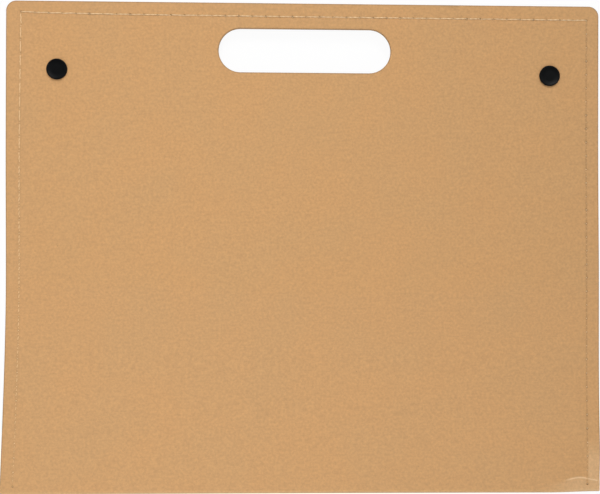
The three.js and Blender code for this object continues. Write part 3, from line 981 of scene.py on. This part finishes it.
def stitchPoints(name, sides):  # sides holds (height, turned over, bend) for each face of the sewn pair
    places, heads, over = [], [], []
    for height, turnedOver, bend in sides:
        for row, (first, last) in zip(seamRows, seam["tightness"]):
            for k, ((ax, ay), (bx, by)) in enumerate(zip(row, row[1:])):
                tightness = first + (last - first) * k / (len(row) - 2)
                sunk = tightness * stitch["stand"] * (1 if turnedOver else -1)
                xs, ys = np.array([ax, bx, (ax + bx) / 2]), np.array([ay, by, (ay + by) / 2])
                across, out, lift = bend(xs, ys)
                points = np.column_stack((xs + across, ys + out, height + sunk + lift))
                places.append(points[2])
                heads.append(points[1] - points[0])
                over.append(math.pi if turnedOver else 0.0)
    obj = newObject(name, places, [], [])
    addAttribute(obj, "along", heads)
    addAttribute(obj, "turnedOver", over)
    return obj


tree, names = stitchTree()
threadSides = {
    "front": [(frontOuter, False, frontBend), (frontLiningLow, True, frontBend)],
    "back": [(backOuter, True, backBend), (backLiningHigh, False, backBend)],
}
rowPitch = math.dist(*seamRows[0][:2])
for number, (body, sides) in enumerate(threadSides.items()):
    values = {"Pitch": rowPitch * mm, "Width": stitch["width"] * mm, "Ply": stitch["ply"] * mm, "Seed": number}
    values.update({"Turns": stitch["turns"], "Sink": stitch["sink"] * mm, "Stand": stitch["stand"] * mm})
    values.update({"Steps": stitch["steps"], "Swing": math.radians(stitch["swing"])})
    stitches = evaluated(stitchPoints(body + "Stitches", sides), tree, names, values, sewingThread)
    standIn(stitches, body + "_thread", body)
print("stitches sewn")


# Press studs: flat caps outside, a cup and a stud inside, turned to the sizes of the frame's own
press = {
    "post": 1.9,
    "pin": 1.1,
    "flangeThickness": 0.6,
    "rimRound": 0.45,
    "dish": 0.16,           # how far the cap's face lies below its rim
    "rimWidth": 0.95,
    "head": 2.3,
    "headRound": 0.9,
    "headGap": 0.3,
    "wall": 1.1,
    "bead": 0.22,           # the rolled edges of the cup and its flange
}


def capProfile():
    radius, thickness, round_ = stud["cap"], stud["capThickness"], press["rimRound"]
    postEnd = -stud["seat"] - board["thickness"] - board["sheetGap"] - board["liningThickness"]
    pinEnd = postEnd - stud["seat"] - press["flangeThickness"]
    profile = [(0, pinEnd), (press["pin"] - 0.15, pinEnd), (press["pin"], pinEnd + 0.15), (press["pin"], postEnd)]
    profile += [(press["post"], postEnd), (press["post"], 0), (radius - 0.3, 0), (radius, 0.2)]
    profile += arc((radius - round_, thickness - round_), round_, 0, 90, 6) + [(radius - round_, thickness)]
    step = radius - press["rimWidth"]
    profile += [(step + 0.2, thickness - 0.02), (step, thickness - 0.05), (step - 0.25, thickness - press["dish"])]
    return profile + [(step * 0.5, thickness - press["dish"] + 0.02), (0, thickness - press["dish"] + 0.03)]


socketTop = frontLiningLow - stud["seat"]
socketRoof = socketTop - press["flangeThickness"]
studBase = backLiningHigh + stud["seat"]
studShoulder = studBase + press["flangeThickness"]


def socketProfile():
    inner = press["head"] + press["headGap"]
    outer, mouth, bead, flange = inner + press["wall"], studShoulder + stud["seat"], press["bead"], stud["flange"]
    hole = press["pin"] + press["headGap"]
    profile = [(inner + bead, mouth)] + arc((outer - bead, mouth + bead), bead, -90, 0, 5) + [(outer, mouth + bead)]
    profile += [(outer, socketRoof - 0.3), (outer + 0.3, socketRoof), (flange - bead, socketRoof)]
    profile += arc((flange - bead, socketRoof + bead), bead, -90, 90, 8)
    profile += [(flange - 0.5, socketTop - 0.12), (hole + 0.4, socketTop), (hole, socketTop - 0.15)]
    profile += [(hole, socketRoof), (inner - 0.3, socketRoof), (inner, socketRoof - 0.3), (inner, mouth + bead)]
    return profile + [profile[0]]


def studProfile():
    head, round_, flange, bead = press["head"], press["headRound"], stud["flange"], press["bead"]
    top, bore = socketRoof - stud["seat"], press["pin"] + press["headGap"]
    profile = [(0, studShoulder + stud["seat"]), (bore, studShoulder + stud["seat"]), (bore, studBase)]
    profile += [(flange - bead, studBase)] + arc((flange - bead, studBase + bead), bead, -90, 90, 8)
    profile += [(flange - 0.6, studShoulder - 0.1), (head + 0.35, studShoulder), (head - 0.1, studShoulder + 0.3)]
    profile += arc((head - round_, top - round_), round_, 0, 90, 10)
    return profile + [(head - round_, top), (0, top + 0.02)]


for side, (x, y) in capPlaces.items():
    for body, height in (("front", frontOuter + stud["seat"]), ("back", backOuter - stud["seat"])):
        piece = turnedPiece(side + body.title() + "Cap", capProfile(), (x, y, height), capPlastic, body == "back")
        standIn(piece, side + "_" + body + "_cap", body)
    for name, profile, body in (("Socket", socketProfile(), "front"), ("Stud", studProfile(), "back")):
        piece = turnedPiece(side + name, profile, (x, y, 0), studMetal)
        standIn(piece, side + "_" + name.lower(), body)
print("press studs made")


# Writing pad: backing, loose sheets and head tape, with the pocket that holds the backing
sheets = {"count": 20, "thickness": 0.072, "scatter": 0.22, "ramp": 14.0, "mouth": 58.0}
padLow, padHigh = nodeBox("pad_pages")
headLow = padLow.z
bodyLow = padHigh.z - (nodeBox("pad_binding")[1].z - 0.3 - headLow)


def padSheet():  # the lowest sheet: flat at the head, a step up where the pocket's mouth lies under it
    mouthX = padLow.x + sheets["mouth"]
    stations = [padLow.x, mouthX - sheets["ramp"] - 2]
    stations += [mouthX - sheets["ramp"] + sheets["ramp"] / 2 * k / 6 for k in range(7)]
    stations += [mouthX, padHigh.x]
    top = sheets["thickness"]
    verts = []
    for x in stations:
        rise = (bodyLow - headLow) * float(smooth(x, mouthX - sheets["ramp"], mouthX - sheets["ramp"] / 2))
        for y, z in ((padLow.y, 0), (padHigh.y, 0), (padHigh.y, top), (padLow.y, top)):
            verts.append((x, y, headLow + rise + z))
    return newObject("padSheets", verts, tubeFaces(4, len(stations)), [padPaper], sharpAngle=30)


def sheetTree():
    inputs = [("Count", "Int", 20), ("Pitch", "Float", 0.00008), ("Scatter", "Float", 0.0002), ("Seed", "Int", 1)]
    tree, given, names = newTree("sheets of a pad", inputs)
    step = addNode(tree, "ShaderNodeCombineXYZ", None, {"Z": given["Pitch"]})
    line = addNode(tree, "GeometryNodeMeshLine", None, {"Count": given["Count"], "Offset": step})
    most = addNode(tree, "ShaderNodeCombineXYZ", None, {"X": given["Scatter"], "Y": given["Scatter"]})
    least = addNode(tree, "ShaderNodeVectorMath", {"operation": "SCALE"}, {0: most, "Scale": -1.0})
    inputs = {"Min": least, "Max": most, "Seed": given["Seed"]}
    chance = addNode(tree, "FunctionNodeRandomValue", {"data_type": "FLOAT_VECTOR"}, inputs)
    moved = addNode(tree, "GeometryNodeSetPosition", None, {"Geometry": line, "Offset": chance})
    inputs = {"Points": moved, "Instance": given["Geometry"]}
    placed = addNode(tree, "GeometryNodeInstanceOnPoints", None, inputs)
    finishTree(tree, placed, padPaper)
    return tree, names


tree, names = sheetTree()
pitch = (padHigh.z - bodyLow - sheets["thickness"]) / (sheets["count"] - 1)
values = {"Count": sheets["count"], "Pitch": pitch * mm, "Scatter": sheets["scatter"] * mm, "Seed": 5}
padSheets = evaluated(padSheet(), tree, names, values, padPaper)
padSheets.data.set_sharp_from_angle(angle=math.radians(30))
standIn(padSheets, "pad_pages", "back")


def bentStrip(name, section, near, far, material):  # a section of (x, z), clockwise, drawn out along y
    verts = [(x, y, z) for y in (near, far) for x, z in section]
    return newObject(name, verts, tubeFaces(len(section), 2), [material])


low, high = nodeBox("pad_backing")
backing = joined("padBackingBoard", [softBox(low, high, 0.12)], padBoard)
standIn(backing, "pad_backing", "back")

low, high = nodeBox("pad_pocket")
pocket = {"rim": 3.5, "sheet": 0.4, "ease": 0.12}
plate = high.z - pocket["sheet"]
parts = [
    softBox((low.x, low.y, plate), (high.x, high.y, high.z), pocket["ease"]),
    softBox((low.x, low.y, low.z), (high.x, low.y + pocket["rim"], plate + 0.1), pocket["ease"]),
    softBox((low.x, high.y - pocket["rim"], low.z), (high.x, high.y, plate + 0.1), pocket["ease"]),
    softBox((high.x - pocket["rim"], low.y, low.z), (high.x, high.y, plate + 0.1), pocket["ease"]),
]
standIn(joined("padPocketSheet", parts, liningFace), "pad_pocket", "back")

low, high = nodeBox("pad_binding")
tape = {"thickness": 0.2, "round": 0.5}
t, r = tape["thickness"], tape["round"]
centre = (low.x + r, high.z - r)
section = [(low.x, low.z)] + arc(centre, r, 180, 90, 6) + [(low.x + r, high.z), (high.x, high.z)]
section += [(high.x, high.z - t)] + arc(centre, r - t, 90, 180, 6) + [(low.x + t, low.z)]
tapePiece = bentStrip("padHeadTape", section, low.y, high.y, headTape)
standIn(tapePiece, "pad_binding", "back")

low, high = nodeBox("document_pocket")
pocketLow = frontLiningLow - board["sheetGap"] - board["liningThickness"]
# the pocket's cut edge is darker: partly the crushed board, partly painted shade along it
rings = [
    (rectangleLoop(low.x, high.x, low.y, high.y, inward), crush, wornAndLit)
    for inward, crush, wornAndLit in ((0, 0.1, -0.5), (0.14, 0, 0))
]


def insidePocket(x, y):
    return np.minimum(np.minimum(x - low.x, high.x - x), np.minimum(y - low.y, high.y - y))


sheet = {"low": pocketLow, "thickness": board["liningThickness"], "bend": frontBend}
sheet["materials"] = [liningFace, liningCut]
piece = makeSheet("documentPocketSheet", [rings], insidePocket, (low.x, high.x, low.y, high.y), sheet)
standIn(piece, "document_pocket", "front")
print("pad and pockets made")


# Pen loop: a band of elastic with its ends sewn down flat and its middle standing up as a round loop
loop = {"band": 0.6, "foot": 6.0, "rib": 1.0, "ribDepth": 0.07, "pinch": 52}


def penLoopSection():
    low, high = nodeBox("pen_loop")
    y, floor = (low.y + high.y) / 2, low.z
    radius = (high.z - low.z) / 2 - loop["band"] / 2
    middle = (y, (low.z + high.z) / 2)
    line = [(y - loop["foot"], floor + loop["band"] / 2), (y - 2.6, floor + loop["band"] / 2)]
    line += arc(middle, radius, 270 - loop["pinch"], loop["pinch"] - 90, 40)
    line += [(y + 2.6, floor + loop["band"] / 2), (y + loop["foot"], floor + loop["band"] / 2)]
    line = np.array(line)
    step = np.gradient(line, axis=0)
    normal = np.column_stack((step[:, 1], -step[:, 0])) / np.linalg.norm(step, axis=1)[:, None]
    half = loop["band"] / 2
    return np.vstack((line + normal * half, (line - normal * half)[::-1])), np.vstack((normal, -normal[::-1]))


section, outward = penLoopSection()


def ribbed(x, ring):
    return ring - outward * loop["ribDepth"] * (0.5 - 0.5 * math.cos(2 * math.pi * x / loop["rib"]))


def unbent(x, y, z):
    return 0 * x, 0 * x, 0 * x


low, high = nodeBox("pen_loop")
steps = round((high.x - low.x) / loop["rib"] * 6)
swell = {"steps": steps, "shape": ribbed}
band = sweepAlongX("penLoopBand", section, unbent, [loopElastic], (low.x, high.x), swell)
standIn(band, "pen_loop", "back")
print("pen loop made")


# Lamps, world and floor: a soft key from beyond the handle edge, a long bank of light over the left side, and a
# white surround that is dark overhead, as a ceiling is
studio = {
    "world": 0.37,
    "ceiling": 0.03,
    "key": {"place": (450, 1900, 2600), "size": (900, 900), "power": 26.0},
    "bank": {"place": (-120, -300, 620), "size": (300, 2400), "power": 4.5, "mirrored": False},
    "floor": 6000,
    "floorShare": 0.94,     # of the floor's own white, the rest being what the lamps and shadows give
}


def addLamp(name, place, size, power, mirrored=True):
    data = bpy.data.lights.new(name, "AREA")
    data.shape = "RECTANGLE"
    data.size, data.size_y = (side * mm for side in size)
    data.energy = power
    obj = linked(name, data)
    obj.location = Vector(place) * mm
    if mirrored:
        obj.rotation_euler = (-Vector(place)).to_track_quat("-Z", "Y").to_euler()
    obj.visible_glossy = mirrored


def seenDirectly(tree):  # 1 for what the camera, a mirror or a window shows, 0 for what lights the object
    rays = addNode(tree, "ShaderNodeLightPath").outputs
    higher = {"operation": "MAXIMUM"}
    most = addNode(tree, "ShaderNodeMath", higher, {0: rays["Is Camera Ray"], 1: rays["Is Glossy Ray"]})
    return addNode(tree, "ShaderNodeMath", higher, {0: most, 1: rays["Is Transmission Ray"]})


def addWorld():
    world = bpy.data.worlds.new("studio")
    bpy.context.scene.world = world
    tree = emptyTree(world)
    heading = addNode(tree, "ShaderNodeTexCoord").outputs["Generated"]
    height = addNode(tree, "ShaderNodeSeparateXYZ", None, {"Vector": heading}).outputs["Z"]
    inputs = {"Value": height, "From Min": 0.35, "From Max": 0.8, "To Min": 1.0, "To Max": studio["ceiling"]}
    white = addNode(tree, "ShaderNodeMapRange", None, inputs)
    inputs = {"Value": seenDirectly(tree), "To Min": studio["world"], "To Max": white}
    strength = addNode(tree, "ShaderNodeMapRange", None, inputs)
    sky = addNode(tree, "ShaderNodeBackground", None, {"Color": (1, 1, 1, 1), "Strength": strength})
    addNode(tree, "ShaderNodeOutputWorld", None, {"Surface": sky})


def addFloor():
    half = studio["floor"] / 2
    corners = [(-half, -half, -0.02), (half, -half, -0.02), (half, half, -0.02), (-half, half, -0.02)]
    material = bpy.data.materials.new("white paper sweep")
    tree = emptyTree(material)
    paper = addNode(tree, "ShaderNodeBsdfDiffuse", None, {"Color": (1, 1, 1, 1)})
    glow = addNode(tree, "ShaderNodeEmission", None, {"Color": (1, 1, 1, 1), "Strength": 1.0})
    inputs = {0: seenDirectly(tree), 1: studio["floorShare"]}
    share = addNode(tree, "ShaderNodeMath", times, inputs)
    mixed = addNode(tree, "ShaderNodeMixShader", None, {0: share, 1: paper, 2: glow})
    addNode(tree, "ShaderNodeOutputMaterial", None, {"Surface": mixed})
    newObject("floor", corners, [(0, 1, 2, 3)], [material])


addLamp("key", **studio["key"])
addLamp("bank", **studio["bank"])
addWorld()
addFloor()
bpy.context.scene.view_settings.view_transform = "Standard"
print("studio lit")
